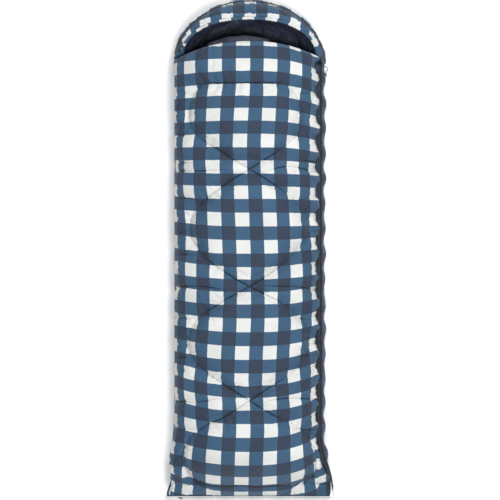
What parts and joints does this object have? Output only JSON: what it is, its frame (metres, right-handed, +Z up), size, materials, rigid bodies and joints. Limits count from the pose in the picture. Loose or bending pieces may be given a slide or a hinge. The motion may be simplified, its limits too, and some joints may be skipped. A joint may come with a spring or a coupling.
{
  "type": "sleeping bag",
  "caption": "Rectangular hooded sleeping bag, quilted, lying zipped shut; the cover folds open along one side, with L-shaped zip sliders, pulls and a hood drawcord with a cord lock",
  "frame": {"origin": "on the floor under the middle of the bag", "axes": "X across the bag with the zip on +X and the fold on -X, Y towards the head, Z up"},
  "size_m": [0.7043, 2.1954, 0.28],
  "materials": {
    "check_fabric": "blue and white gingham shell fabric",
    "wadding": "hollow-fibre wadding",
    "lining_fabric": "dark navy lining with a slight sheen",
    "trim_fabric": "dark navy trim",
    "zip_tape": "woven polyester zip tape",
    "zip_coil": "nylon coil",
    "zip_metal": "gunmetal zinc",
    "lock_plastic": "black moulded plastic",
    "spring_steel": "spring steel",
    "cord": "braided black cord",
    "label_fabric": "blank satin label"
  },
  "bodies": {
    "bag": {"back_shell": "check_fabric", "back_insulation": "wadding", "back_lining": "lining_fabric", "hood_shell": "check_fabric", "hood_insulation": "wadding", "hood_lining": "lining_fabric", "hood_piping": "trim_fabric", "hood_brim_casing": "check_fabric", "hood_drawcord": "cord", "drawcord_eyelet": "zip_metal", "drawcord_tail": "cord", "drawcord_end_knot": "cord", "zip_tape_back": "zip_tape", "zip_coil_back": "zip_coil", "zip_top_stop": "zip_metal", "zip_bottom_stop": "zip_metal", "zip_end_tab": "trim_fabric", "care_label": "label_fabric"},
    "cover": {"front_shell": "check_fabric", "front_insulation": "wadding", "front_lining": "lining_fabric", "front_draft_tube": "lining_fabric", "zip_tape_front": "zip_tape", "zip_coil_front": "zip_coil"},
    "side_slider": {"zip_slider": "zip_metal"},
    "side_pull": {"zip_pull_tab": "zip_metal", "zip_pull_cord": "cord", "zip_pull_knot": "cord"},
    "foot_slider": {"foot_zip_slider": "zip_metal"},
    "foot_pull": {"foot_zip_pull_tab": "zip_metal"},
    "cord_lock": {"cord_lock_barrel": "lock_plastic", "cord_lock_spring": "spring_steel"},
    "cord_lock_button": {"cord_lock_plunger": "lock_plastic"}
  },
  "joints": [
    {"name": "cover_fold", "type": "hinge", "parent": "bag", "child": "cover", "pos_m": [-0.33, 0, 0.14], "axis": [0, -1, 0], "range_deg": [0, 176]},
    {"name": "side_zip_run", "type": "slide", "parent": "bag", "child": "side_slider", "axis": [0, -1, 0], "range_m": [0, 1.63]},
    {"name": "side_pull_swing", "type": "hinge", "parent": "side_slider", "child": "side_pull", "pos_m": [0.31506, 0.826, 0.19007], "axis": [-0.6408, 0, 0.7677], "range_deg": [0, 170]},
    {"name": "foot_zip_run", "type": "slide", "parent": "bag", "child": "foot_slider", "axis": [1, 0, 0], "range_m": [0, 0.6]},
    {"name": "foot_pull_swing", "type": "hinge", "parent": "foot_slider", "child": "foot_pull", "pos_m": [-0.302, -1.0952, 0.06], "axis": [0, 0, -1], "range_deg": [0, 170]},
    {"name": "cord_lock_slide", "type": "slide", "parent": "bag", "child": "cord_lock", "axis": [-0.6018, -0.7986, 0], "range_m": [0, 0.005]},
    {"name": "cord_lock_press", "type": "slide", "parent": "cord_lock", "child": "cord_lock_button", "axis": [0, 0, -1], "range_m": [0, 0.0016], "stiffness_N_per_m": 400, "springref_m": -0.003, "deforming": ["cord_lock_spring"]}
  ]
}
